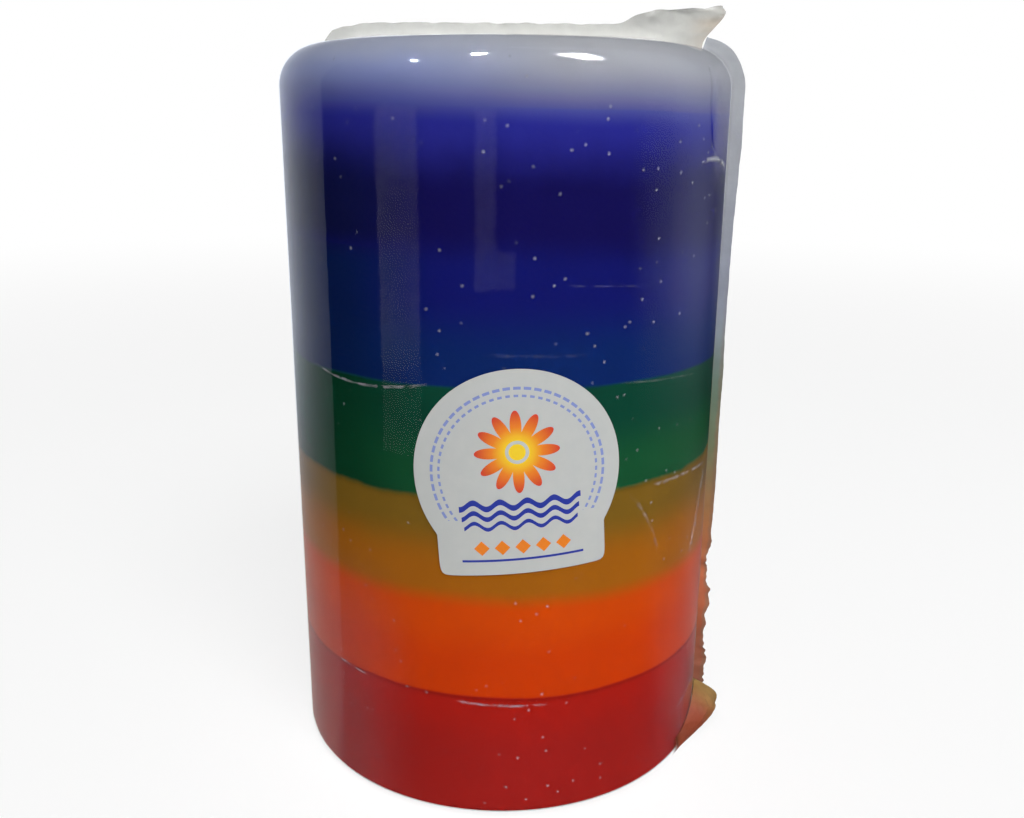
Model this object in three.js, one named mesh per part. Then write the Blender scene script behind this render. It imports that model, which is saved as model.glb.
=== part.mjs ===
// A pillar candle poured in seven coloured layers, with its wick, sealed in clear shrink film with a
// die-cut label. Millimetres, Z up. The origin is the middle of the base, on the surface it stands on.
// The label faces -Y, and the film's seals lie in the plane y = 0, with their loose corners on +X.
import * as THREE from 'three';

// Wax: the layers are given from the base up
const candleRadius = 50;
const redHeight = 28.5;
const orangeHeight = 22.3;
const yellowHeight = 22.5;
const greenHeight = 23.2;
const blueHeight = 26.3;
const violetHeight = 26.5;
const whiteHeight = 12.7; // 162 in all
const shoulderRadius = 8.5;
const baseEdgeRadius = 1.5;
// The candle is cast upside down, so each face between two layers is a shallow dome
const castDome = 1.6;
const castTilt = 0.6; // out of level at the wall
const castTiltDirections = [168, 183, 290, 160, 175, 180]; // degrees, for each face from the base up
const topDish = 1;

// Wick, and the metal sustainer that holds its foot in the base
const wickDiameter = 3.2;
const wickClearance = 0.3;
const wickBendRadius = 2;
const wickFreeEnd = 8; // lies flat past its bend
const sustainerDiameter = 20;
const sustainerThickness = 0.6;
const sustainerClearance = 0.3;
const neckHeight = 7;
const neckWall = 0.5;

// Shrink film: a flat bag, welded along its top, its right side and its base
const filmThickness = 0.35;
const filmClearance = 0.3;
const ridgeHeight = 3; // the film is drawn up to its top seal
const ridgeWidth = 26;
const sealThickness = 0.6;
const sealGap = 0.3;

const topSealInset = 4; // its left end is cut off short of the rim
const topSealRise = 2.4;
const topSealCut = 3; // length of the slanted cut at its left end
const topSealCutFoot = 0.25; // share of the rise that the cut leaves at the very end
const topSealWave = 0.7; // how far it sways to each side
const topSealWaveLength = 11.4;
const topSealRagged = 0.25; // how unevenly its top edge is cut
const topSealRaggedLength = 3.3;
// The corner of the bag stands past the end of the top seal as a crumpled tail
const topTailLength = 16;
const topTailRise = 8.2;
const topTailOverhang = 6;
const topTailCrumple = 1.8;
const topTailCrumpleLength = 4.8;

const sideSealReach = 3; // above the kink, where the film stands off the wax
const sideSealLowReach = 2.3;
const sideSealKinkHeight = 48;
const sideSealKinkLength = 10;
const sideSealTopAngle = 66; // degrees it follows the shoulder round
const sideSealWave = 0.6;
const sideSealWaveLength = 27;
const sideSealRagged = 0.4;
const sideSealRaggedLength = 15;

const baseTailHeight = 12;
const baseTailReach = 5.2;
const baseTailAngle = 34; // degrees round the base, from the side seal towards the front
const baseTailCrumple = 0.9;
const baseTailCrumples = 2.7; // folds along its length

// Label: a disc joined to a straight-sided tab, stuck on the film
const labelRadius = 21.5;
const labelTabWidth = 35;
const labelThickness = 0.2;
const labelGap = 0.3;
const labelCentreHeight = 80;
const labelOffset = 3; // round the wall, to the right
const labelTilt = 4; // degrees, right side up

// Facets and cells of the meshes
const wallFacets = 60;
const plateFacets = 30;
const labelFacets = 72;
const wickFacets = 10;
const bendSteps = 6;
const shoulderSteps = 5;
const baseEdgeSteps = 3;
const topSealCells = [56, 4]; // along the seal and across it
const sideSealCells = [48, 2];
const baseTailCells = [20, 6];

// Places worked out from the sizes
const waxBase = filmThickness + filmClearance;
const layers = [
  { name: 'red_wax_layer', height: redHeight, color: '#9b201b' },
  { name: 'orange_wax_layer', height: orangeHeight, color: '#d2490c' },
  { name: 'yellow_wax_layer', height: yellowHeight, color: '#b8740f' },
  { name: 'green_wax_layer', height: greenHeight, color: '#0f4a2c' },
  { name: 'blue_wax_layer', height: blueHeight, color: '#0f1d66' },
  { name: 'violet_wax_layer', height: violetHeight, color: '#1f1787' },
  { name: 'white_wax_layer', height: whiteHeight, color: '#c3c7d2' },
];
const levels = [waxBase];
for (const layer of layers) levels.push(levels.at(-1) + layer.height);
const waxTop = levels.at(-1);
const shoulderHeight = waxTop - shoulderRadius;
const flatTopRadius = candleRadius - shoulderRadius;
const wickRadius = wickDiameter / 2;
const boreRadius = wickRadius + wickClearance;
const neckRadius = boreRadius + neckWall;
const filmInside = candleRadius + filmClearance;
const filmOutside = filmInside + filmThickness;

// A profile point is [radius, height] and may add the slope [x, y] that its face leans by
function revolve(profile, facets = wallFacets) {
  const geometry = new THREE.LatheGeometry(
    profile.map(([radius, height]) => new THREE.Vector2(radius, height)),
    facets,
  );
  geometry.rotateX(Math.PI / 2);
  return reshape(geometry, (point, index) => {
    const slope = profile[index % profile.length][2];
    if (slope) point.z += slope[0] * point.x + slope[1] * point.y;
  });
}

function reshape(geometry, move) {
  const position = geometry.attributes.position;
  const point = new THREE.Vector3();
  for (let index = 0; index < position.count; index++) {
    move(point.fromBufferAttribute(position, index), index);
    position.setXYZ(index, point.x, point.y, point.z);
  }
  geometry.computeVertexNormals();
  return geometry;
}

// A thin sheet from a grid of cells: along and across run from 0 to 1, and side is -0.5 or 0.5
function sheet(alongCells, acrossCells, place) {
  const grid = new THREE.BoxGeometry(1, 1, 1, alongCells, 1, acrossCells);
  return reshape(grid, (point) => {
    const [x, y, z] = place(point.x + 0.5, point.z + 0.5, point.y);
    point.set(x, y, z);
  });
}

// Points of a rounded corner, from one angle to another in degrees
function corner(radius, height, bend, from, to, steps) {
  return Array.from({ length: steps + 1 }, (_, step) => {
    const angle = THREE.MathUtils.degToRad(from + ((to - from) * step) / steps);
    return [radius + bend * Math.cos(angle), height + bend * Math.sin(angle)];
  });
}

// The face between two layers, from the wick bore out to the wall
function castFace(level) {
  const turn = THREE.MathUtils.degToRad(castTiltDirections[level - 1]);
  const lean = castTilt / candleRadius;
  const slope = [lean * Math.cos(turn), lean * Math.sin(turn)];
  return [boreRadius, (boreRadius + candleRadius) / 2, candleRadius].map((radius) => {
    const share = radius / candleRadius;
    return [radius, levels[level] + castDome * (1 - share * share), slope];
  });
}

function topFaceHeight(radius) {
  const share = radius / flatTopRadius;
  return waxTop - topDish * (1 - share * share);
}

// The base has a flat rim, and a recess and a socket that take the sustainer
function baseFace() {
  const recessRadius = sustainerDiameter / 2 + sustainerClearance;
  const recessRoof = waxBase + sustainerThickness + sustainerClearance;
  const socketRadius = neckRadius + sustainerClearance;
  const socketRoof = waxBase + sustainerThickness + neckHeight + sustainerClearance;
  return [
    [boreRadius, socketRoof],
    [socketRadius, socketRoof],
    [socketRadius, recessRoof],
    [recessRadius, recessRoof],
    [recessRadius, waxBase],
    ...corner(
      candleRadius - baseEdgeRadius,
      waxBase + baseEdgeRadius,
      baseEdgeRadius,
      -90,
      0,
      baseEdgeSteps,
    ),
  ];
}

function topFace() {
  const dish = [0.75, 0.5, 0.25].map((share) => share * flatTopRadius);
  return [
    ...[boreRadius, ...dish.reverse()].map((radius) => [radius, topFaceHeight(radius)]),
    ...corner(flatTopRadius, shoulderHeight, shoulderRadius, 90, 0, shoulderSteps),
  ];
}

function waxLayer(index) {
  const lower = index === 0 ? baseFace() : castFace(index);
  const upper = index === layers.length - 1 ? topFace() : castFace(index + 1);
  return revolve([...lower, ...upper.reverse(), lower[0]]);
}

// The wick climbs its bore, bends over above the wax and lies flat in the dish
function wick() {
  const foot = waxBase;
  const bendStart = topFaceHeight(0) + wickClearance;
  const lyingHeight = bendStart + wickBendRadius;
  const stations = [{ x: 0, z: foot, turn: 0 }];
  for (let step = 0; step <= bendSteps; step++) {
    const turn = ((Math.PI / 2) * step) / bendSteps;
    stations.push({
      x: wickBendRadius * (1 - Math.cos(turn)),
      z: bendStart + wickBendRadius * Math.sin(turn),
      turn,
    });
  }
  stations.push({ x: wickBendRadius + wickFreeEnd, z: lyingHeight, turn: Math.PI / 2 });
  const rod = new THREE.CylinderGeometry(wickRadius, wickRadius, 1, wickFacets, stations.length - 1);
  rod.rotateX(Math.PI / 2);
  return reshape(rod, (point) => {
    const at = stations[Math.round((point.z + 0.5) * (stations.length - 1))];
    const across = point.x;
    point.x = at.x + across * Math.cos(at.turn);
    point.z = at.z - across * Math.sin(at.turn);
  });
}

function wickSustainer() {
  const plateTop = waxBase + sustainerThickness;
  const plateRadius = sustainerDiameter / 2;
  return revolve([
    [boreRadius, waxBase],
    [plateRadius, waxBase],
    [plateRadius, plateTop],
    [neckRadius, plateTop],
    [neckRadius, plateTop + neckHeight],
    [boreRadius, plateTop + neckHeight],
    [boreRadius, waxBase],
  ], plateFacets);
}

// How far the film's top is drawn up over the wax: a ridge along x that sinks to both rims
function ridge(x, y) {
  const along = Math.max(0, 1 - (x / flatTopRadius) ** 4);
  const across = Math.max(0, 1 - Math.abs(2 * y / ridgeWidth));
  return ridgeHeight * along * across * across;
}

function filmSleeve() {
  const skin = (offset) => {
    const top = waxTop + offset;
    const rings = [0, 0.1, 0.2, 0.35, 0.5, 0.65, 0.8].map((share) => [share * flatTopRadius, top]);
    const bend = shoulderRadius + offset;
    return [...rings, ...corner(flatTopRadius, shoulderHeight, bend, 90, 0, shoulderSteps)];
  };
  const inside = skin(filmClearance);
  const outside = skin(filmClearance + filmThickness).reverse();
  const foot = [[filmInside, filmThickness], [filmOutside, filmThickness]];
  return reshape(revolve([...inside, ...foot, ...outside]), (point) => {
    if (point.z > waxTop) point.z += ridge(point.x, point.y);
  });
}

function filmBase() {
  return revolve([[0, 0], [filmOutside, 0], [filmOutside, filmThickness], [0, filmThickness]]);
}

// A wave with a length, from -1 to 1
function ripple(travelled, waveLength) {
  return Math.sin((2 * Math.PI * travelled) / waveLength);
}

// The top seal stands on the ridge, and its corner runs out into the tail
function filmTopSeal() {
  const start = topSealInset - flatTopRadius;
  const end = flatTopRadius;
  const tailStart = end - topTailLength;
  return sheet(...topSealCells, (along, across, side) => {
    const foot = start + (end - start) * along;
    const tail = THREE.MathUtils.smoothstep(foot, tailStart, end);
    const cut = Math.min(1, topSealCutFoot + (foot - start) / topSealCut);
    const ragged = topSealRagged * ripple(foot, topSealRaggedLength);
    const rise = (topSealRise + ragged) * cut + (topTailRise - topSealRise) * tail;
    const overhang = topTailOverhang * tail * Math.max(0, (foot - tailStart) / topTailLength) ** 2;
    const fold = foot + (across * topTailCrumpleLength) / 3;
    const wave = topSealWave * ripple(foot, topSealWaveLength)
      + topTailCrumple * tail * ripple(fold, topTailCrumpleLength);
    const lift = waxTop + filmClearance + filmThickness + sealGap + ridge(foot, 0);
    return [
      foot + overhang * across,
      wave * across + side * sealThickness,
      lift + rise * across,
    ];
  });
}

// The side seal stands off the wall and follows the shoulder up to the tail
function filmSideSeal() {
  const foot = baseTailHeight + filmThickness + sealGap;
  const wallLength = shoulderHeight - foot;
  const bend = shoulderRadius + filmClearance + filmThickness + sealGap;
  const length = wallLength + bend * THREE.MathUtils.degToRad(sideSealTopAngle);
  const kink = sideSealKinkLength / 2;
  return sheet(...sideSealCells, (along, across, side) => {
    const travelled = along * length;
    const turn = Math.max(0, travelled - wallLength) / bend;
    const height = foot + Math.min(travelled, wallLength);
    const open = THREE.MathUtils.smoothstep(
      height,
      sideSealKinkHeight - kink,
      sideSealKinkHeight + kink,
    );
    const ragged = sideSealRagged * ripple(travelled, sideSealRaggedLength) * (1 - open);
    const reach = sideSealLowReach + (sideSealReach - sideSealLowReach) * open + ragged;
    const wave = sideSealWave * ripple(travelled, sideSealWaveLength) * across;
    const out = bend + reach * across;
    return [
      flatTopRadius + out * Math.cos(turn),
      wave - side * sealThickness,
      height + out * Math.sin(turn),
    ];
  });
}

// The lower corner of the bag is folded forward round the base as a second crumpled tail
function filmBaseTail() {
  const inner = filmOutside + sealGap;
  const sweep = THREE.MathUtils.degToRad(baseTailAngle);
  return sheet(...baseTailCells, (along, across, side) => {
    const fade = Math.sin(Math.PI * (0.12 + 0.8 * along));
    const bulge = Math.sin(Math.PI * (0.12 + 0.76 * across));
    const fold = ripple(along + 0.2 * across, 1 / baseTailCrumples);
    const crumple = baseTailCrumple * fold * across * (1 - across) * 2;
    const reach = baseTailReach * fade * bulge + crumple * fade;
    const angle = -sweep * along;
    const radius = inner + sealThickness / 2 + Math.max(0, reach) + side * sealThickness;
    const height = filmThickness + (baseTailHeight - filmThickness) * across * (0.45 + 0.55 * fade);
    return [radius * Math.cos(angle), radius * Math.sin(angle), height];
  });
}

// Distance from the label's centre to its edge, for an angle turned from straight down
function labelEdge(angle) {
  const sine = Math.abs(Math.sin(angle)) / (labelTabWidth / 2);
  const cosine = Math.max(0, Math.cos(angle)) / labelRadius;
  const tab = (sine ** 14 + cosine ** 14) ** (-1 / 14);
  return Math.cos(angle) > 0 ? Math.max(labelRadius, tab) : labelRadius;
}

function labelSticker() {
  const rings = [0, 0.2, 0.4, 0.6, 0.8, 1];
  const disc = revolve([
    ...rings.map((share) => [share, 0]),
    ...rings.reverse().map((share) => [share, labelThickness]),
  ], labelFacets);
  const inner = filmOutside + labelGap;
  const tilt = THREE.MathUtils.degToRad(labelTilt);
  return reshape(disc, (point) => {
    const angle = Math.atan2(point.x, -point.y);
    const reach = Math.hypot(point.x, point.y) * labelEdge(angle);
    const across = labelOffset + reach * Math.sin(angle + tilt);
    const height = labelCentreHeight - reach * Math.cos(angle + tilt);
    const turn = across / inner;
    const radius = inner + point.z;
    point.set(radius * Math.sin(turn), -radius * Math.cos(turn), height);
  });
}

const candle = new THREE.Group();

function add(name, geometry, color, roughness, metalness = 0, opacity = 1) {
  const material = new THREE.MeshStandardMaterial({ color, roughness, metalness, opacity });
  material.transparent = opacity < 1;
  const mesh = new THREE.Mesh(geometry, material);
  mesh.name = name;
  candle.add(mesh);
}

layers.forEach((layer, index) => add(layer.name, waxLayer(index), layer.color, 0.45));
add('wick', wick(), '#e6dfcc', 0.9);
add('wick_sustainer', wickSustainer(), '#b9bcc0', 0.35, 1);
add('film_sleeve', filmSleeve(), '#eceee9', 0.08, 0, 0.2);
add('film_base', filmBase(), '#eceee9', 0.08, 0, 0.2);
add('film_top_seal', filmTopSeal(), '#d9dad3', 0.2, 0, 0.7);
add('film_side_seal', filmSideSeal(), '#c9ccc9', 0.2, 0, 0.5);
add('film_base_tail', filmBaseTail(), '#b99a4e', 0.25, 0, 0.8);
add('label_sticker', labelSticker(), '#c4c5be', 0.4);

export default candle;
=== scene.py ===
import math

import bpy
from mathutils import Matrix, Vector, noise


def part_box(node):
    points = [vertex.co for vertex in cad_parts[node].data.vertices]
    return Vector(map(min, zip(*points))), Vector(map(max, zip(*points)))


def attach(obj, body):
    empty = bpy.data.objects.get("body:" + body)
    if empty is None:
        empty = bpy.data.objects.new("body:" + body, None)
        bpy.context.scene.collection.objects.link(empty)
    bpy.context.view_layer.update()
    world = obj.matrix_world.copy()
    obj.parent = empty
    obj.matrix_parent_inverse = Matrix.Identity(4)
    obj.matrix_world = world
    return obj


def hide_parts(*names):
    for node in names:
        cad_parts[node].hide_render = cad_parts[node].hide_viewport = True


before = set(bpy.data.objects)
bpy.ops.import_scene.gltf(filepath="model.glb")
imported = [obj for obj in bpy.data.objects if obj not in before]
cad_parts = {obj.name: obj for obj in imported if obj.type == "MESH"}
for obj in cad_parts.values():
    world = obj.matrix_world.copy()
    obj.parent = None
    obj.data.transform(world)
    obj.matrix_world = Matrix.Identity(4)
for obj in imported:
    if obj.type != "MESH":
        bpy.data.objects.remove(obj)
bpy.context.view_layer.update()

MM = 0.001

# The wax block, read off the CAD pieces
RED_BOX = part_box("red_wax_layer")
WHITE_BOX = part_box("white_wax_layer")
WICK_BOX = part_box("wick")
WAX_RADIUS = RED_BOX[1].x
WAX_BASE = 0.2 * MM
WAX_TOP = WHITE_BOX[1].z
SHOULDER = 8.5 * MM
SHOULDER_STEPS = 10
BASE_EDGE = 1.5 * MM
BASE_EDGE_STEPS = 4
BORE = 1.9 * MM
CAST_TILT = 0.6 * MM
CAST_TILT_TOWARDS = [0, 168, 183, 290, 160, 175, 180]  # degrees from +X, for each layer's foot
CAST_DOME = 1.6 * MM
TOP_DISH = 1 * MM
FLAT_TOP = WAX_RADIUS - SHOULDER
CAP_RINGS = (0.7, 0.4, 0.15)  # shares of the radius at which a layer's faces are ringed

# Clear film, drawn tight over the wax
FILM_GAP = 0.12 * MM
FILM_WALL = 0.06 * MM
FILM_RADIUS = WAX_RADIUS + FILM_GAP
FILM_SHOULDER = SHOULDER + FILM_GAP
FILM_MIRROR = 0.003  # share of light that it mirrors where it faces the eye
RIDGE_HEIGHT = 3 * MM
RIDGE_HALF_WIDTH = 13 * MM
WELD_WALL = 0.1 * MM  # two walls and the melt between them

ROUND = 180  # steps round the wax
FILM_ROUND = 240
TOUCH = 0.001 * MM  # places closer than this are one
FIRM_BEND, SOFT_BEND = 40, 60  # degrees past which a bend stays an edge


# Modelling by hand

def clear_selection():
    for item in bpy.context.selected_objects:
        item.select_set(False)


def settle(piece, name):
    """Puts a new piece's place into its mesh and names it."""
    bpy.ops.object.transform_apply(location=True, rotation=True, scale=True)
    piece.name = name
    piece.data.name = name
    return piece


def cylinder(name, radius, low, high, steps=ROUND):
    clear_selection()
    bpy.ops.mesh.primitive_cylinder_add(
        vertices=steps, radius=radius, depth=high - low, location=(0, 0, (low + high) / 2))
    return settle(bpy.context.object, name)


def sheet_grid(name, columns, rows):
    """A unit grid, one square from (0, 0) to (1, 1), to be moved into place."""
    clear_selection()
    bpy.ops.mesh.primitive_grid_add(
        x_subdivisions=columns, y_subdivisions=rows, size=1, location=(0.5, 0.5, 0))
    return settle(bpy.context.object, name)


def pick(piece, faces=None, edges=None):
    """Selects the faces or edges that a test picks, in object mode, and enters edit mode."""
    mesh = piece.data
    bpy.ops.object.mode_set(mode="OBJECT")
    for group in (mesh.vertices, mesh.edges, mesh.polygons):
        group.foreach_set("select", [False] * len(group))
    if faces:
        for face in mesh.polygons:
            face.select = faces(face)
        bpy.ops.object.mode_set(mode="EDIT")
        bpy.ops.mesh.select_mode(type="FACE")
    else:
        for edge in mesh.edges:
            edge.select = edges(*(mesh.vertices[index].co for index in edge.vertices))
        bpy.ops.object.mode_set(mode="EDIT")
        bpy.ops.mesh.select_mode(type="EDGE")


def leave_edit():
    bpy.ops.object.mode_set(mode="OBJECT")


def reach(point):
    return math.hypot(point.x, point.y)


def shape(piece, move):
    """Moves every point of a piece's mesh to the place that move gives it."""
    leave_edit()
    for vertex in piece.data.vertices:
        vertex.co = move(vertex.co.copy())
    piece.data.update()


def outward(piece):
    pick(piece, faces=lambda face: True)
    bpy.ops.mesh.remove_doubles(threshold=TOUCH)
    bpy.ops.mesh.normals_make_consistent(inside=False)
    leave_edit()


def apply_modifier(piece, kind, **settings):
    bpy.context.view_layer.objects.active = piece
    modifier = piece.modifiers.new(kind.title(), kind)
    for key, value in settings.items():
        setattr(modifier, key, value)
    bpy.ops.object.modifier_apply(modifier=modifier.name)


def smooth(piece, angle=FIRM_BEND):
    clear_selection()
    piece.select_set(True)
    bpy.context.view_layer.objects.active = piece
    bpy.ops.object.shade_smooth_by_angle(angle=math.radians(angle))


def finish_piece(piece, material, slot, *nodes):
    piece.data.materials.append(material)
    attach(piece, "root")
    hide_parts(*nodes)


# Shader maths

class Value:
    """A number in a node tree. Arithmetic on it adds Math nodes."""

    def __init__(self, tree, socket):
        self.tree = tree
        self.socket = socket

    def math(self, operation, *others):
        node = self.tree.nodes.new("ShaderNodeMath")
        node.operation = operation
        for place, item in zip(node.inputs, (self, *others)):
            plug(self.tree, place, item)
        return Value(self.tree, node.outputs[0])

    def __add__(self, other):
        return self.math("ADD", other)

    def __mul__(self, other):
        return self.math("MULTIPLY", other)

    def __sub__(self, other):
        return self.math("SUBTRACT", other)

    def __truediv__(self, other):
        return self.math("DIVIDE", other)

    def __rsub__(self, other):
        return self * -1 + other

    def __neg__(self):
        return self * -1

    def __gt__(self, other):
        return self.math("GREATER_THAN", other)

    def __lt__(self, other):
        return self.math("LESS_THAN", other)

    __radd__ = __add__
    __rmul__ = __mul__

    def power(self, other):
        return self.math("POWER", other)

    def size(self):
        return self.math("ABSOLUTE")

    def most(self, other):
        return self.math("MAXIMUM", other)

    def least(self, other):
        return self.math("MINIMUM", other)

    def clip(self):
        return self.most(0).least(1)


def plug(tree, place, item):
    """Sets a socket to a number or colour, or links it to a value."""
    if isinstance(item, Value):
        tree.links.new(item.socket, place)
    elif isinstance(item, bpy.types.NodeSocket):
        tree.links.new(item, place)
    elif isinstance(item, tuple) and len(item) == 3 and place.type == "RGBA":
        place.default_value = (*item, 1)
    else:
        place.default_value = item


class Finish:
    """A node tree for a material or the world, with one method that adds any node."""

    def __init__(self, name=None, tree=None):
        if tree is None:
            self.material = bpy.data.materials.new(name)
            self.material.use_nodes = True
            tree = self.material.node_tree
        self.tree = tree
        tree.nodes.clear()

    def node(self, kind, sockets=(), stops=(), **settings):
        node = self.tree.nodes.new("ShaderNode" + kind)
        for key, value in settings.items():
            setattr(node, key, value)
        for index, (place, colour) in enumerate(stops):
            ramp = node.color_ramp.elements
            stop = ramp[index] if index < 2 else ramp.new(place)
            stop.position = place
            stop.color = (*colour, 1)
        for key, item in dict(sockets).items():
            plug(self.tree, node.inputs[key], item)
        return node

    def value(self, kind, sockets=(), output=0, **settings):
        return Value(self.tree, self.node(kind, sockets, **settings).outputs[output])

    def place(self):
        """The three object coordinates, in millimetres."""
        point = self.node("TexCoord").outputs["Object"]
        parts = self.node("SeparateXYZ", {0: point})
        return [Value(self.tree, parts.outputs[axis]) * 1000 for axis in range(3)]

    def sheet_place(self):
        """The two coordinates of the piece's own UV map."""
        point = self.node("TexCoord").outputs["UV"]
        parts = self.node("SeparateXYZ", {0: point})
        return [Value(self.tree, parts.outputs[axis]) for axis in range(2)]

    def noise(self, scale, detail=3, rough=0.5, stretch=(1, 1, 1)):
        """Noise from 0 to 1 on object coordinates, with scale in lumps per metre."""
        point = self.node("TexCoord").outputs["Object"]
        moved = self.node("Mapping", {"Vector": point, "Scale": stretch}).outputs[0]
        return self.value("TexNoise", {
            "Vector": moved, "Scale": scale, "Detail": detail, "Roughness": rough})

    def ramp(self, value, low, high):
        """0 below low, 1 above high, and a smooth step between."""
        return self.value("MapRange", {"Value": value, "From Min": low, "From Max": high},
                          interpolation_type="SMOOTHSTEP")

    def blend(self, share, first, second, mode="MIX"):
        """A mix of two colours."""
        mix = self.node("Mix", {0: share, 6: first, 7: second}, data_type="RGBA", blend_type=mode)
        return mix.outputs[2]

    def shaded(self, colour, light):
        """A colour darkened by a number from 0 to 1."""
        grey = self.node("CombineColor", {0: light, 1: light, 2: light}).outputs[0]
        return self.blend(1.0, colour, grey, "MULTIPLY")

    def bump(self, height, distance, strength=1.0):
        return self.node("Bump", {
            "Height": height, "Distance": distance, "Strength": strength}).outputs[0]

    def skin_gloss(self, bent):
        """Share of light that a skin of film mirrors: little in front, far more at its edge."""
        facing = self.value("LayerWeight", {"Blend": 0.5, "Normal": bent}, output="Facing")
        inside = self.value("NewGeometry", output="Backfacing")
        return (facing.power(4) * 0.6 + FILM_MIRROR) * (1 - inside)

    def wall_place(self):
        """Distance round the wall from its front, to the right, and height, in millimetres."""
        x, y, z = self.place()
        return x.math("ARCTAN2", -y) * (WAX_RADIUS / MM), z

    def surface(self, shader):
        self.node("OutputMaterial", {"Surface": shader})
        return self.material


def tone(red, green, blue):
    """A display colour, 0 to 255, as the linear colour that the shaders take."""
    def linear(part):
        part /= 255
        return part / 12.92 if part <= 0.04045 else ((part + 0.055) / 1.055) ** 2.4
    return (linear(red), linear(green), linear(blue))


# Wax

# From the base up: the tone at a layer's foot and at its head, where between them it turns, and
# the darker tone painted on the dark dyes at the left of the front as shade, where less light falls
DYES = [
    ("red", tone(148, 30, 26), tone(158, 28, 20), 0.7, None),
    ("orange", tone(188, 56, 8), tone(192, 66, 10), 0.6, None),
    ("yellow", tone(152, 89, 20), tone(115, 86, 28), 0.55, None),
    ("green", tone(24, 76, 46), tone(15, 61, 47), 0.5, tone(9, 52, 33)),
    ("blue", tone(14, 36, 92), tone(18, 22, 94), 0.45, tone(8, 28, 66)),
    ("violet", tone(19, 16, 74), tone(38, 40, 130), 0.67, tone(13, 19, 56)),
    ("white", tone(130, 140, 178), tone(136, 141, 158), 0.7, None),
]
# How the foot of each layer above the first meets the one below: how far its dyes run, in
# millimetres, how far above the joint that run lies, how it wanders, how dark the joint is, and
# how much lower it lies at the right
JOINTS = [
    None,
    (0.45, 0.1, 0.4, 0.72, 0),
    (2.6, 0.4, 1.2, 1.0, 0),
    (0.8, 0.0, 2.4, 0.85, 0),
    (0.5, 0.2, 0.8, 1.0, 0),
    (4.2, 0.0, 2.0, 1.0, 0),
    (6.2, 3.3, 1.4, 1.0, 0.8),
]
WAVE = 0.5 * MM

# Height at the wall of each layer's foot, without its tilt
EDGE_LEVELS = [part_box(dye[0] + "_wax_layer")[0].z + CAST_TILT for dye in DYES]


def edge_wave(level, angle, sine):
    """How far the line between two layers wanders, for a number or a shader value."""
    long = sine(angle * 2 + level * 1.7)
    middle = sine(angle * 5 + level * 4.1)
    short = sine(angle * 11 + level * 2.3)
    return long * 0.55 + middle * 0.3 + short * 0.15


def edge_height(level, angle, sine):
    tilt = sine(angle - math.radians(CAST_TILT_TOWARDS[level])) * CAST_TILT
    return tilt + edge_wave(level, angle, sine) * WAVE + EDGE_LEVELS[level]


def wax_layer(level):
    """One cast layer: a disc bored for the wick, with domed faces and edges as they were poured."""
    name = DYES[level][0]
    bottom, top = level == 0, level == len(DYES) - 1
    low = WAX_BASE if bottom else EDGE_LEVELS[level]
    high = WAX_TOP if top else EDGE_LEVELS[level + 1]
    piece = cylinder("wax_" + name, WAX_RADIUS, low, high)
    edge = SHOULDER if top else BASE_EDGE
    if bottom or top:
        level_cut = high if top else low
        pick(piece, edges=lambda a, b: abs(a.z - level_cut) + abs(b.z - level_cut) < TOUCH)
        bpy.ops.mesh.bevel(
            offset=edge, segments=SHOULDER_STEPS if top else BASE_EDGE_STEPS, affect="EDGES")
    for cap, rounded in ((low, bottom), (high, top)):
        inner = WAX_RADIUS - (edge if rounded else 0)
        for ring in [WAX_RADIUS * share for share in CAP_RINGS] + [BORE]:
            pick(piece, faces=lambda face: abs(face.center.z - cap) < TOUCH
                 and len(face.vertices) > 4)
            bpy.ops.mesh.inset(thickness=inner - ring)
            inner = ring
        bpy.ops.mesh.delete(type="FACE")
    pick(piece, edges=lambda a, b: reach(a) < BORE * 1.1 and reach(b) < BORE * 1.1)
    bpy.ops.mesh.bridge_edge_loops()
    leave_edit()

    def cast(point):
        angle = math.atan2(point.x, -point.y)
        share = min(1, reach(point) / WAX_RADIUS)
        dome = CAST_DOME * (1 - share * share)
        if not bottom and abs(point.z - low) < TOUCH:
            point.z = edge_height(level, angle, math.sin) + dome
        elif not top and abs(point.z - high) < TOUCH:
            point.z = edge_height(level + 1, angle, math.sin) + dome
        elif top and point.z > high - TOUCH and reach(point) < FLAT_TOP - TOUCH:
            point.z -= TOP_DISH * (1 - (reach(point) / FLAT_TOP) ** 2)
        return point

    shape(piece, cast)
    outward(piece)
    smooth(piece)
    finish_piece(piece, wax(level), name + "_wax", name + "_wax_layer")


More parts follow.
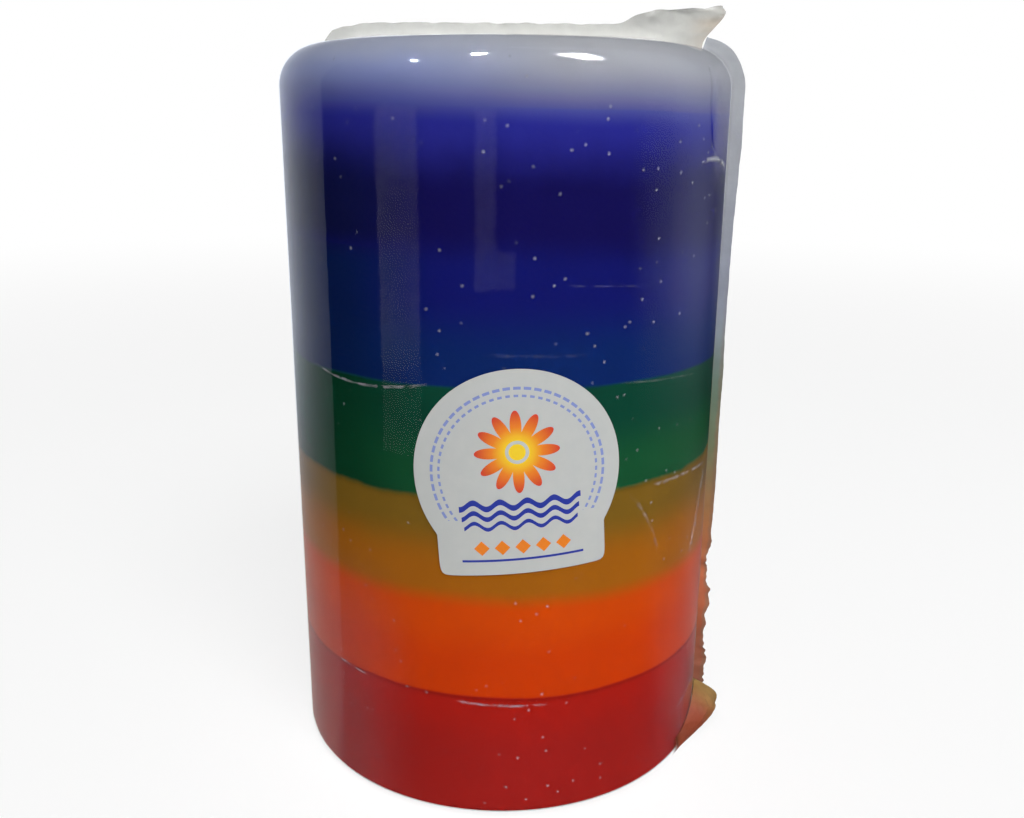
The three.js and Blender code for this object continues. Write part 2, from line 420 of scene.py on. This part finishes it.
def wax(level):
    """Dyed paraffin, whose colour runs a little into its neighbours."""
    name, foot_tone, head_tone, turn, left_shade_tone = DYES[level]
    top = level == len(DYES) - 1
    made = Finish(name + " dyed wax")
    x, y, z = made.place()
    angle = x.math("ARCTAN2", -y)
    cloudy = made.noise(70, 4, 0.6)
    wander = cloudy - 0.5

    def above(joint):
        """Height above the joint under a layer, as its dyes have run."""
        run, lift, wandering, dark, lean = JOINTS[joint]
        line = edge_height(joint, angle, lambda value: value.math("SINE")) / MM
        return z - line - wander * wandering - lift + made.ramp(x, -15, 15) * lean

    low = EDGE_LEVELS[level] / MM
    high = WAX_TOP / MM if top else EDGE_LEVELS[level + 1] / MM
    middle, half = low + (high - low) * turn, (high - low) * 0.26
    colour = made.blend(made.ramp(z + wander * 4, middle - half, middle + half),
                        foot_tone, head_tone)
    if left_shade_tone:
        # Painted shade: the dark dyes turn to a darker tone at the left of the front, below the top
        # layer's head
        side = made.ramp(angle, -0.2, -0.72) * (1 - made.ramp(angle, -1.4, -2))
        side = side * (1 - made.ramp(z, 133, 151)) * 0.85
        colour = made.blend(side, colour, left_shade_tone)
    if top:
        colour = made.blend(made.ramp(x, -25, 15) * 0.85, colour, tone(146, 147, 150))
    if level:
        run = JOINTS[level][0]
        colour = made.blend(made.ramp(above(level), -run, run), DYES[level - 1][2], colour)
    if not top:
        run = JOINTS[level + 1][0]
        colour = made.blend(made.ramp(above(level + 1), -run, run), colour, DYES[level + 1][1])
        dark = JOINTS[level + 1][3]
        if dark < 1:
            close = (1 - ((above(level + 1) + 0.5) / 0.9).size()).clip()
            colour = made.shaded(colour, 1 - close * (1 - dark))
    colour = made.shaded(colour, cloudy * 0.2 + 0.9)
    grain = made.noise(900, 2)
    shader = made.node("BsdfPrincipled", {
        "Base Color": colour, "Roughness": made.noise(200) * 0.2 + 0.4,
        "Specular IOR Level": 0.0, "Normal": made.bump(grain, 0.00005, 0.4)})
    return made.surface(shader.outputs[0])


# Clear film

# Creases and scuffs of the film, each drawn as a lighter line, which on the creases and on the
# ledges between layers is a painted highlight: one end and the other, as distance round the wall
# from its front and height, in millimetres; then how far the middle bows upwards, the half width,
# and how light the painted line is
CREASES = [
    ((45, 139.6), (61, 138.2), 1.3, 0.7, 0.24),
    ((59, 71), (51, 52), 0, 1.6, 0.1),
    ((33, 73.6), (59, 72.2), 0.4, 0.6, 0.1),
    ((27.3, 73.4), (36.7, 58.2), 1, 0.6, 0.05),
    ((62, 16), (46, 12.2), 0, 0.6, 0.07),
    ((-46.5, 97.8), (-15, 97.8), -1.9, 0.4, 0.16),
    ((-41, 29.6), (-32, 29.1), -0.1, 0.4, 0.18),
    ((-10, 28.1), (10, 27.4), -0.3, 0.4, 0.2),
    ((12, 117.4), (31, 116.4), 0, 0.3, 0.025),
    ((-4, 104.1), (17, 103.6), 0, 0.5, 0.015),
    ((24, 97.3), (48, 95.6), 0, 0.35, 0.045),
]


def crease(made, across, up, start, end, bow, width):
    """1 on a bowed line between two places, fading to its sides and its ends."""
    run, climb = end[0] - start[0], end[1] - start[1]
    length = math.hypot(run, climb)
    travelled = ((across - start[0]) * run + (up - start[1]) * climb) / length ** 2
    inside = (travelled * (1 - travelled)).most(0)
    aside = ((up - start[1]) * run - (across - start[0]) * climb) / length - inside * (4 * bow)
    return (1 - (aside / width).size()).clip() * (inside * 8).least(1)


def clear_film():
    """Thin glossy film: what is behind it shows, with dust, scuffs and creases on it, and
    highlights painted along the creases.
    """
    made = Finish("clear shrink film")
    across, up = made.wall_place()
    uneven = made.noise(500, 3, 0.7)
    broken = made.ramp(uneven, 0.38, 0.6)
    scuffs_and_highlights, ridges = 0, 0
    # Painted highlights: each crease and scuff line whitens the film, and the lightest ones also
    # raise a ridge in the bump
    for start, end, bow, width, light in CREASES:
        line = crease(made, across, up, start, end, bow, width)
        scuffs_and_highlights = line * broken * (light * 1.4) + scuffs_and_highlights
        if light > 0.2:
            ridges = line + ridges
    # A long crease beside the side weld, dark because nothing is mirrored in it
    groove = crease(made, across, up, (48.3, 158.5), (50.6, 142), -1.2, 0.55)
    # Specks of dust in patches, and film that is rubbed near the base, most towards its sides
    spot = made.node("CombineXYZ", {0: across, 1: up}).outputs[0]
    speck = made.value("TexVoronoi", {"Vector": spot, "Scale": 0.16}, voronoi_dimensions="2D")
    dust = (1 - speck / 0.07).clip() * made.ramp(made.noise(60, 1), 0.48, 0.6) * 0.16
    low = made.ramp(up, 64, 34)
    rubbed = made.ramp(across, -16, -44) * 0.03 + made.ramp(across, 30, 62) * 0.025 + 0.001
    slack = made.ramp(across, 49, 54) * made.ramp(across, 76, 66) * made.ramp(up, 130, 150) * 0.1
    # Both end at the shoulder, because on the top they would run together towards its middle
    wall = made.ramp(up, 161, 157)
    # The whitening joins the painted crease highlights with the dust, the slack wedge and the
    # rubbing
    milk_and_highlights = (scuffs_and_highlights + (dust + slack) * wall + rubbed * low * (uneven + 0.5)).least(0.8)
    ripples = made.noise(70, 4, 0.55, (1, 1, 0.35)) + made.noise(260, 2) * 0.2
    bent = made.bump(ripples * 0.045 + ridges * 0.5 - groove, 0.0012, 0.6)
    gloss = made.node("BsdfGlossy", {"Color": (1, 1, 1), "Roughness": 0.03, "Normal": bent})
    white = made.node("BsdfDiffuse", {"Color": (0.68, 0.69, 0.77)})
    clear = made.node("BsdfTransparent", {"Color": (1, 1, 1)})
    shine = made.node("MixShader", {
        0: made.skin_gloss(bent) * (1 - groove * 0.8), 1: clear.outputs[0], 2: gloss.outputs[0]})
    haze_and_highlights = made.node("MixShader", {0: milk_and_highlights, 1: shine.outputs[0], 2: white.outputs[0]})
    return made.surface(haze_and_highlights.outputs[0])


def welded_film(made, colour, cover):
    """Film welded double: milky and softly creased, with painted shade in the crease hollows and
    light on their crests, and a little see-through.
    """
    creased = made.noise(160, 4, 0.55)
    # Painted shade: darker in the hollows of the creases, lighter on their crests
    shade = made.shaded(colour, creased * 0.16 + 0.91)
    bent = made.bump(creased, 0.001, 0.3)
    skin = made.node("BsdfPrincipled", {
        "Base Color": shade, "Roughness": 0.45, "Specular IOR Level": 0.08, "Normal": bent})
    clear = made.node("BsdfTransparent", {"Color": (1, 1, 1)})
    share = (creased * 0.2 - 0.1 + cover).clip()
    mixed = made.node("MixShader", {0: share, 1: clear.outputs[0], 2: skin.outputs[0]})
    return made.surface(mixed.outputs[0])


def top_weld():
    made = Finish("welded film, top")
    x = made.place()[0]
    streak = made.noise(60, 3, 0.6, (0.2, 1, 2.5))
    colour = made.blend(streak, tone(162, 163, 160), tone(178, 178, 173))
    colour = made.blend(made.ramp(x, 39, 46) * made.ramp(streak, 0.4, 0.7) * 0.5,
                        colour, tone(168, 150, 128))
    return welded_film(made, colour, 0.92)


def side_weld():
    """Milky above; below, it is wiped with the dyes of the wax and has a brown ragged edge."""
    made = Finish("welded film, side")
    z = made.place()[2]
    across = made.sheet_place()[1]
    colour = made.node("ValToRGB", {0: z / 170}, stops=[
        (0.05, tone(150, 92, 72)), (0.85, tone(160, 163, 168)), (0.125, tone(160, 90, 62)),
        (0.2, tone(180, 102, 70)), (0.3, tone(154, 110, 70)), (0.41, tone(108, 116, 90)),
        (0.5, tone(104, 122, 108)), (0.62, tone(136, 141, 155))]).outputs[0]
    edge = made.ramp(across + made.noise(500) * 0.3, 0.8, 1.05) * made.ramp(z, 122, 60)
    colour = made.blend(edge * 0.7, colour, tone(132, 104, 84))
    inner = made.ramp(across, 0.5, 0.1) * made.ramp(z, 90, 130) * 0.5
    return welded_film(made, colour, 0.95 - inner)


def base_weld():
    made = Finish("welded film, yellowed")
    along = made.sheet_place()[0]
    colour = made.blend(made.noise(220, 3), tone(122, 82, 36), tone(160, 132, 78))
    colour = made.blend(made.ramp(along, 0.25, 0.6), colour, tone(136, 62, 38))
    return welded_film(made, colour, 0.94 - made.ramp(along, 0.85, 1) * 0.9)


def drawn_up(x, y):
    """How far the film's top is drawn up to its seal: a ridge along x that sinks to both rims."""
    along = max(0, 1 - (x / FLAT_TOP) ** 8)
    across = max(0, 1 - abs(y) / RIDGE_HALF_WIDTH)
    return RIDGE_HEIGHT * along * across * across


def film_bag():
    low = 0.1 * MM
    high = WAX_TOP + FILM_GAP
    piece = cylinder("film_bag", FILM_RADIUS, low, high, FILM_ROUND)
    pick(piece, edges=lambda a, b: a.z < low + TOUCH and b.z < low + TOUCH)
    bpy.ops.mesh.bevel(offset=BASE_EDGE, segments=BASE_EDGE_STEPS, affect="EDGES")
    pick(piece, edges=lambda a, b: a.z > high - TOUCH and b.z > high - TOUCH)
    bpy.ops.mesh.bevel(offset=FILM_SHOULDER, segments=SHOULDER_STEPS, affect="EDGES")
    pick(piece, edges=lambda a, b: abs(a.z - b.z) > high / 2)
    bpy.ops.mesh.subdivide(number_cuts=70)
    inner = FILM_RADIUS - FILM_SHOULDER
    for share in (0.9, 0.8, 0.7, 0.6, 0.5, 0.4, 0.3, 0.2, 0.1):
        pick(piece, faces=lambda face: face.normal.z > 0.99 and len(face.vertices) > 4)
        bpy.ops.mesh.inset(thickness=inner - FLAT_TOP * share)
        inner = FLAT_TOP * share
    bpy.ops.mesh.poke()
    leave_edit()

    def draw_tight(point):
        if point.z > high - 10 * TOUCH:
            point.z += drawn_up(point.x, point.y)
        return point

    shape(piece, draw_tight)
    outward(piece)
    apply_modifier(piece, "SOLIDIFY", thickness=FILM_WALL, offset=1)
    smooth(piece, SOFT_BEND)
    finish_piece(piece, clear_film(), "clear_film", "film_sleeve", "film_base")


def crumple(point, size, seed):
    """A smooth random push, the same each time."""
    return noise.noise(point / size + Vector((seed, seed * 0.7, 0)))


def film_top_seal():
    """The weld stands on the drawn-up film, and the bag's corner runs out past its right end."""
    start, end = 1 * MM - FLAT_TOP, 44 * MM
    tail_length, tail_reach = 16 * MM, 4.9 * MM
    weld_height, first_rise, second_rise = 2.6 * MM, 3.6 * MM, 3.9 * MM
    piece = sheet_grid("film_top_seal_fin", 260, 24)

    def stand(point):
        along, across = point.x, point.y
        foot = start + (end - start) * along
        early = smooth_step(foot, 23.5 * MM, 34 * MM)
        late = smooth_step(foot, 33 * MM, 46 * MM)
        cut = min(1, 0.4 + (foot - start) / (3 * MM))
        ragged = 0.35 * MM * crumple(Vector((foot, 0, 0)), 3 * MM, 3)
        rise = (weld_height + ragged) * cut + first_rise * early + second_rise * late
        over = tail_reach * max(0, 1 - (end - foot) / tail_length) ** 2
        lean = smooth_step(across, 0.15, 0.92) - 0.2 * smooth_step(across, 0.85, 1)
        spot = Vector((foot, across * 2 * MM, 0))
        wave = 0.9 * MM * crumple(spot, 6 * MM, 1)
        folded = Vector((foot, across * rise, 0))
        wave += 1.4 * MM * early * crumple(folded, 4.5 * MM, 5)
        wave += 0.4 * MM * early * crumple(folded, 1.6 * MM, 8)
        past = max(0, foot - FLAT_TOP)
        lift = WAX_TOP - SHOULDER + math.sqrt(FILM_SHOULDER ** 2 - past ** 2) + drawn_up(foot, 0)
        return Vector((foot + over * lean, wave * across, lift + rise * across))

    shape(piece, stand)
    apply_modifier(piece, "SOLIDIFY", thickness=WELD_WALL, offset=0)
    smooth(piece, SOFT_BEND)
    finish_piece(piece, top_weld(), "welded_film", "film_top_seal")


def smooth_step(value, low, high):
    share = min(1, max(0, (value - low) / (high - low)))
    return share * share * (3 - 2 * share)


def film_side_seal():
    """The weld down the side, smooth above its kink and ragged below."""
    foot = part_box("film_side_seal")[0].z - 10.5 * MM
    corner = Vector((FLAT_TOP, 0, WAX_TOP - SHOULDER))
    wall = corner.z - foot
    length = wall + FILM_SHOULDER * math.radians(74)
    plain_width, kink_width, foot_width = 3.45 * MM, 0.8 * MM, 0.5 * MM
    piece = sheet_grid("film_side_seal_fin", 320, 12)

    def stand(point):
        travelled, across = point.x * length, point.y
        turn = max(0, travelled - wall) / FILM_SHOULDER
        height = foot + min(travelled, wall)
        ragged_share = 1 - smooth_step(height, 40 * MM, 50 * MM)
        spot = Vector((travelled, 0, 0))
        ragged = 1.5 * MM * crumple(spot, 4 * MM, 2) + 0.9 * MM * crumple(spot, 1.5 * MM, 4)
        broad = smooth_step(height, 116 * MM, 146 * MM) * (1 - smooth_step(turn, 0.75, 1.3))
        width = plain_width + kink_width * broad + ragged * (0.06 + ragged_share)
        width += foot_width * (1 - smooth_step(height, 8 * MM, 34 * MM))
        spot = Vector((travelled, across * 2 * MM, 0))
        wave = 1.1 * MM * crumple(spot, 14 * MM, 6)
        wave += 0.8 * MM * crumple(spot, 3 * MM, 7) * ragged_share
        out = FILM_SHOULDER + max(0.3 * MM, width) * across
        return Vector((
            corner.x + out * math.cos(turn), wave * across, height + out * math.sin(turn)))

    shape(piece, stand)
    apply_modifier(piece, "SOLIDIFY", thickness=WELD_WALL, offset=0)
    smooth(piece, SOFT_BEND)
    finish_piece(piece, side_weld(), "welded_film", "film_side_seal")


def film_base_tail():
    """The bag's lower corner: a yellowed flap that bulges from the wall and lies back on it."""
    piece = sheet_grid("film_base_corner", 120, 44)
    inner = FILM_RADIUS + FILM_WALL + 0.12 * MM
    flap_bulge, flap_height, flap_length = 5.9 * MM, 8.2 * MM, 29 * MM

    def fold(point):
        along, across = point.x, point.y
        angle = math.radians(-2 - 33 * along)
        bulge = smooth_step(along, -0.06, 0.24) * (1 - smooth_step(along, 0.25, 0.92))
        profile = math.sin(math.pi * (0.2 + 0.8 * across)) ** 0.8
        spot = Vector((along * flap_length, across * 9 * MM, 0))
        creases = 1.1 * MM * crumple(spot, 3.6 * MM, 4) + 0.4 * MM * crumple(spot, 1.3 * MM, 9)
        swell = flap_bulge * profile + creases * across * (1 - across) * 3.5
        radius = inner + max(0, swell * bulge)
        height = 0.4 * MM + flap_height * across ** 0.9 * (0.5 + 0.5 * bulge)
        return Vector((radius * math.cos(angle), radius * math.sin(angle), height))

    shape(piece, fold)
    apply_modifier(piece, "SOLIDIFY", thickness=WELD_WALL, offset=0)
    smooth(piece, SOFT_BEND)
    finish_piece(piece, base_weld(), "welded_film", "film_base_tail")


# Wick

def wick():
    """Three braided cotton strands, up the bore and bent over under the film."""
    foot = WICK_BOX[0].z
    strand_radius, braid_width, braid_depth, braid_pitch = 0.75 * MM, 0.75 * MM, 0.42 * MM, 5 * MM
    bend = 2 * MM
    bend_start = WAX_TOP - TOP_DISH + 0.3 * MM
    end = WICK_BOX[1].x
    straight = bend_start - foot
    arc = bend * math.pi / 2
    length = straight + arc + end - bend
    strands = []
    for strand in range(3):
        piece = cylinder("strand", strand_radius, 0, length, 10)
        pick(piece, edges=lambda a, b: abs(a.z - b.z) > length / 2)
        bpy.ops.mesh.subdivide(number_cuts=99)
        pick(piece, edges=lambda a, b: abs(a.z - b.z) > TOUCH * 100)
        bpy.ops.mesh.subdivide(number_cuts=2)
        leave_edit()
        phase = strand * 2 * math.pi / 3

        def braid(point):
            turn = 2 * math.pi * point.z / braid_pitch + phase
            across = point.x + braid_width * math.sin(turn)
            side = point.y + braid_depth * math.sin(2 * turn)
            travelled = point.z
            angle = min(max(0, travelled - straight) / bend, math.pi / 2)
            past = max(0, travelled - straight - arc)
            x = bend * (1 - math.cos(angle)) + past
            z = foot + min(travelled, straight) + bend * math.sin(angle)
            return Vector((x + side * math.cos(angle), across, z - side * math.sin(angle)))

        shape(piece, braid)
        outward(piece)
        strands.append(piece)
    clear_selection()
    for piece in strands:
        piece.select_set(True)
    bpy.context.view_layer.objects.active = strands[0]
    bpy.ops.object.join()
    piece = settle(bpy.context.object, "braided_wick")
    smooth(piece, SOFT_BEND)
    finish_piece(piece, cotton(), "cotton", "wick")


def cotton():
    made = Finish("waxed braided cotton")
    fibre = made.noise(2600, 3, 0.6, (1, 1, 0.4))
    colour = made.blend(fibre, tone(150, 146, 132), tone(178, 172, 158))
    shader = made.node("BsdfPrincipled", {
        "Base Color": colour, "Roughness": 0.75, "Normal": made.bump(fibre, 0.0002, 0.5)})
    return made.surface(shader.outputs[0])


def tinned_steel():
    made = Finish("pressed tinned steel")
    brushed = made.noise(700, 3, 0.6, (1, 0.1, 1))
    colour = made.blend(brushed, (0.42, 0.42, 0.43), (0.62, 0.62, 0.62))
    shader = made.node("BsdfPrincipled", {
        "Base Color": colour, "Metallic": 1.0, "Roughness": brushed * 0.2 + 0.25,
        "Normal": made.bump(brushed, 0.0001, 0.3)})
    return made.surface(shader.outputs[0])


def wick_sustainer():
    """A pressed plate with a crimped neck drawn up round the wick."""
    low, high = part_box("wick_sustainer")
    plate = 0.6 * MM
    piece = cylinder("sustainer", high.x, low.z, low.z + plate, 96)
    neck = BORE + 0.5 * MM
    pick(piece, faces=lambda face: abs(face.normal.z) > 0.99)
    bpy.ops.mesh.inset(thickness=high.x - neck)
    bpy.ops.mesh.delete(type="FACE")
    pick(piece, edges=lambda a, b: reach(a) < neck * 1.01 and reach(b) < neck * 1.01
         and a.z > low.z + plate / 2 and b.z > low.z + plate / 2)
    bpy.ops.mesh.extrude_region_move(
        TRANSFORM_OT_translate={"value": (0, 0, high.z - low.z - plate)})
    bpy.ops.mesh.extrude_region_move(TRANSFORM_OT_translate={"value": (0, 0, 0)})
    bpy.ops.transform.resize(value=(BORE / neck, BORE / neck, 1))
    leave_edit()
    pick(piece, edges=lambda a, b: reach(a) < neck * 1.01 and reach(b) < neck * 1.01
         and a.z < low.z + TOUCH and b.z < low.z + TOUCH)
    bpy.ops.mesh.extrude_region_move(TRANSFORM_OT_translate={"value": (0, 0, 0)})
    bpy.ops.transform.resize(value=(BORE / neck, BORE / neck, 1))
    leave_edit()
    pick(piece, edges=lambda a, b: reach(a) < BORE * 1.01 and reach(b) < BORE * 1.01)
    bpy.ops.mesh.bridge_edge_loops()
    leave_edit()
    outward(piece)
    smooth(piece)
    finish_piece(piece, tinned_steel(), "tinned_steel", "wick_sustainer")


# Label

LABEL_RADIUS = 21.5 * MM
LABEL_TAB = 17.5 * MM
LABEL_TILT = math.radians(4)
LABEL_OFFSET = 3 * MM
LABEL_HEIGHT = 80 * MM
LABEL_SKIN = 0.12 * MM
LABEL_SHEET = 4 * LABEL_RADIUS  # side of the square that its UV map shows


def label_edge(angle):
    """Distance from the label's centre to its edge, for an angle turned from straight down."""
    if math.cos(angle) <= 0:
        return LABEL_RADIUS
    sine = abs(math.sin(angle)) / LABEL_TAB
    cosine = math.cos(angle) / LABEL_RADIUS
    return max(LABEL_RADIUS, (sine ** 26 + cosine ** 26) ** (-1 / 26))


def label():
    clear_selection()
    bpy.ops.mesh.primitive_circle_add(vertices=240, radius=1, fill_type="NGON", calc_uvs=False)
    piece = settle(bpy.context.object, "die_cut_label")
    inner = 1.0
    for ring in (0.88, 0.74, 0.6, 0.46, 0.32, 0.18, 0.08):
        pick(piece, faces=lambda face: len(face.vertices) > 4)
        bpy.ops.mesh.inset(thickness=inner - ring)
        inner = ring
    bpy.ops.mesh.poke()
    leave_edit()

    def cut(point):
        angle = math.atan2(point.x, -point.y)
        edge = label_edge(angle) * reach(point)
        return Vector((edge * math.sin(angle), -edge * math.cos(angle), 0))

    shape(piece, cut)
    flat = piece.data.uv_layers.new(name="flat label")
    for loop in piece.data.loops:
        point = piece.data.vertices[loop.vertex_index].co
        flat.data[loop.index].uv = (point.x / LABEL_SHEET + 0.5, point.y / LABEL_SHEET + 0.5)
    wall = FILM_RADIUS + FILM_WALL + 0.06 * MM
    turned = Matrix.Rotation(LABEL_TILT, 3, "Z")

    def stick(point):
        point = turned @ point
        angle = (point.x + LABEL_OFFSET) / wall
        return Vector((wall * math.sin(angle), -wall * math.cos(angle), LABEL_HEIGHT + point.y))

    shape(piece, stick)
    apply_modifier(piece, "SOLIDIFY", thickness=LABEL_SKIN, offset=1)
    smooth(piece)
    finish_piece(piece, label_paper(), "label_paper", "label_sticker")


def label_paper():
    """Coated white paper with a plain printed pattern: a rosette, waves, dashes and stripes."""
    made = Finish("printed label paper")
    across, up = [(part - 0.5) * (LABEL_SHEET / MM) for part in made.sheet_place()]
    paper = made.blend(made.noise(400), tone(175, 178, 177), tone(183, 185, 182))
    blue, pale_blue = tone(27, 45, 146), tone(120, 134, 190)
    red, orange, yellow = tone(196, 52, 30), tone(222, 120, 20), tone(232, 196, 28)
    radius = (across * across + up * up).power(0.5)
    angle = across.math("ARCTAN2", up)

    def stripe(value, width, period):
        """1 inside stripes of a width, repeated at a period."""
        return (value / period).math("FRACT") < (width / period)

    def band(value, low, high):
        return (value > low) * (value < high)

    # Two rings of short dashes near the rim, over the round part only
    above = up > -9.5
    dashes = band(radius, 17.4, 18.0) * stripe(angle * 18, 1.5, 2.1)
    dashes = dashes.most(band(radius, 15.9, 16.4) * stripe(angle * 16, 0.9, 1.6)) * above
    colour = made.blend(dashes, paper, pale_blue)
    # A rosette of twelve petals, yellow at its heart and red at the tips
    rose_up = up - 4.6
    rose = (across * across + rose_up * rose_up).power(0.5)
    turn = across.math("ARCTAN2", rose_up)
    petal = (turn * 6).math("COSINE").size()
    reach_out = petal * 4.4 + 4.2
    inside = band(rose, 2.4, 100) * (rose < reach_out)
    heat = made.node("ValToRGB", {0: rose / 8.6}, stops=[
        (0.25, yellow), (0.98, red), (0.6, orange)]).outputs[0]
    colour = made.blend(inside, colour, heat)
    colour = made.blend(rose < 1.7, colour, yellow)
    # Three wavy lines under it
    swell = (across * 1.15).math("SINE") * 0.7
    for row in range(3):
        middle = swell - 6.4 - row * 2.2
        wide = 12.5 - row * 0.4
        line = ((up - middle).size() < 0.62 - row * 0.1) * (across.size() < wide)
        colour = made.blend(line, colour, blue)
    # A row of diamonds and a plain rule along the tab
    step = ((across / 4.2 + 0.5).math("FRACT") - 0.5) * 4.2
    diamond = (step.size() + (up + 15.6).size() < 1.6) * (across.size() < 10.5)
    colour = made.blend(diamond, colour, orange)
    rule = band(up, -18.6, -18.1) * (across.size() < 12.6)
    colour = made.blend(rule, colour, blue)
    shader = made.node("BsdfPrincipled", {
        "Base Color": colour, "Roughness": 0.42, "Specular IOR Level": 0.2,
        "Normal": made.bump(made.noise(1500, 2), 0.00003, 0.3)})
    return made.surface(shader.outputs[0])


# Stage, light and camera

# Tints of the pale room as the film mirrors it: the room, and the floor close to the candle
ROOM_TINT = (0.92, 0.98, 1.1)
NEAR_TINT = (1.0, 0.88, 0.82)


def stage_floor():
    clear_selection()
    bpy.ops.mesh.primitive_plane_add(size=8, location=(0, 0, 0))
    floor = settle(bpy.context.object, "stage_floor")
    made = Finish("pale floor")
    path = made.node("LightPath")
    seen = [Value(made.tree, path.outputs[name]) for name in
            ("Is Camera Ray", "Is Glossy Ray", "Is Transmission Ray")]
    matte = made.node("BsdfDiffuse", {"Color": (0.8, 0.8, 0.8)})
    x, y = made.place()[:2]
    far = (x * x + y * y).power(0.5)
    # In the film the floor is pale behind a line at the left, and at the right away from the candle
    left = made.ramp((x + 35.9) * 0.19 + (y + 34.9) * 0.98, 0, 5) * (x < 0)
    left = left * (made.ramp(far, 200, 600) * 0.4 + 0.55)
    azimuth = x.math("ARCTAN2", -y) * (180 / math.pi)
    right = room_right(made, azimuth)
    right = right * (made.ramp(far, 250, 900) * 0.9 + 0.08)
    right = right + made.ramp(azimuth, 88, 115) * (1 - made.ramp(far, 120, 300)) * 0.2
    straight = seen[0] + seen[2]
    tint = made.blend(made.ramp(far, 120, 320), NEAR_TINT, ROOM_TINT)
    white = made.node("Emission", {
        "Color": made.blend(seen[1], (1, 1, 1), tint),
        "Strength": straight + seen[1] * (left + right)})
    share = straight.clip() * (made.ramp(far, 250, 1200) * 0.2 + 0.8) + seen[1]
    mixed = made.node("MixShader", {0: share, 1: matte.outputs[0], 2: white.outputs[0]})
    floor.data.materials.append(made.surface(mixed.outputs[0]))


def room_right(made, azimuth):
    """How bright the right of the room is in the film, by azimuth in degrees."""
    return made.ramp(azimuth, 60, 78) * (1 - made.ramp(azimuth, 84, 136) * 0.9) * 2.1


def studio_world():
    world = bpy.data.worlds.new("studio")
    bpy.context.scene.world = world
    world.use_nodes = True
    made = Finish(tree=world.node_tree)
    path = made.node("LightPath")
    seen, mirrored, through = [Value(made.tree, path.outputs[name]) for name in
                               ("Is Camera Ray", "Is Glossy Ray", "Is Transmission Ray")]
    look = made.node("SeparateXYZ", {0: made.node("TexCoord").outputs["Generated"]})
    side, back, up = (Value(made.tree, look.outputs[axis]) for axis in range(3))
    azimuth = side.math("ARCTAN2", -back) * (180 / math.pi)
    # The pale backdrop stands behind and to both sides; the room in front is dim
    left = made.ramp(azimuth, -99, -101) * (1 - made.ramp(up, 0.1, 0.5) * 0.75)
    strength = seen + through + mirrored * (left + room_right(made, azimuth))
    soft = (1 - (seen + through + mirrored).clip()) * 0.3
    glow = made.node("Background", {
        "Color": made.blend(mirrored, (1, 1, 1), ROOM_TINT), "Strength": strength + soft})
    made.node("OutputWorld", {"Surface": glow.outputs[0]})


def softbox(name, azimuth, elevation, distance, width, height, radiance, lights_wax=True):
    """An area lamp turned towards the candle; azimuth 0 is in front, 90 to the right."""
    turn, lift = math.radians(azimuth), math.radians(elevation)
    away = Vector((math.sin(turn) * math.cos(lift), -math.cos(turn) * math.cos(lift),
                   math.sin(lift)))
    lamp = bpy.data.lights.new(name, "AREA")
    lamp.shape = "RECTANGLE"
    lamp.size, lamp.size_y = width, height
    lamp.energy = radiance * math.pi * width * height
    holder = bpy.data.objects.new(name, lamp)
    holder.location = Vector((0, 0, 0.12)) + away * distance
    holder.rotation_euler = away.to_track_quat("Z", "Y").to_euler()
    holder.visible_camera = False
    holder.visible_diffuse = lights_wax
    bpy.context.scene.collection.objects.link(holder)
    return holder


def reflection_panel(name, distance, first, last, low, high, radiance):
    """A standing panel that only the gloss shows, from one azimuth to another."""
    middle, half = math.radians((first + last) / 2), math.radians((last - first) / 2)
    panel = softbox(name, math.degrees(middle), 0, distance,
                    2 * distance * math.tan(half), high - low, radiance, False)
    panel.location.z = (low + high) / 2


def lights():
    key = softbox("key_softbox", 24, 50, 1.1, 0.5, 0.5, 15.5)
    key.visible_glossy = False
    softbox("key_gloss", 56.5, 58.5, 0.9, 0.18, 0.22, 400, False)
    softbox("small_gloss_front", -22, 66, 0.9, 0.07, 0.07, 4000, False)
    softbox("small_gloss_left", -53, 46, 0.9, 0.05, 0.05, 4000, False)
    reflection_panel("left_panel", 0.2, -57, -36.8, 0.062, 0.152, 4.2)
    reflection_panel("left_low_panel", 0.2, -57, -36.8, 0.03, 0.062, 2.1)
    reflection_panel("front_panel", 0.36, -13.5, -4, 0.066, 0.153, 3.6)
    reflection_panel("front_low_panel", 0.36, -4, 5, 0.066, 0.0855, 3.2)


def camera():
    """The photograph's view: a 35 mm lens, 237 mm from the axis, looking down 16 degrees."""
    view = bpy.data.cameras.new("camera")
    view.sensor_width = 36
    view.lens = 35
    view.clip_start = 0.01
    holder = bpy.data.objects.new("camera", view)
    holder.location = (0, -236.76 * MM, 147.25 * MM)
    turn = Matrix.Rotation(math.radians(-0.49), 3, "Z")
    pitch = Matrix.Rotation(math.radians(90 - 16.083), 3, "X")
    roll = Matrix.Rotation(math.radians(0.469), 3, "Z")
    holder.rotation_euler = (turn @ pitch @ roll).to_euler()
    bpy.context.scene.collection.objects.link(holder)
    bpy.context.scene.camera = holder


for layer in range(len(DYES)):
    wax_layer(layer)
wick()
wick_sustainer()
film_bag()
film_top_seal()
film_side_seal()
film_base_tail()
label()
stage_floor()
studio_world()
lights()
camera()
bpy.context.scene.view_settings.view_transform = "Standard"
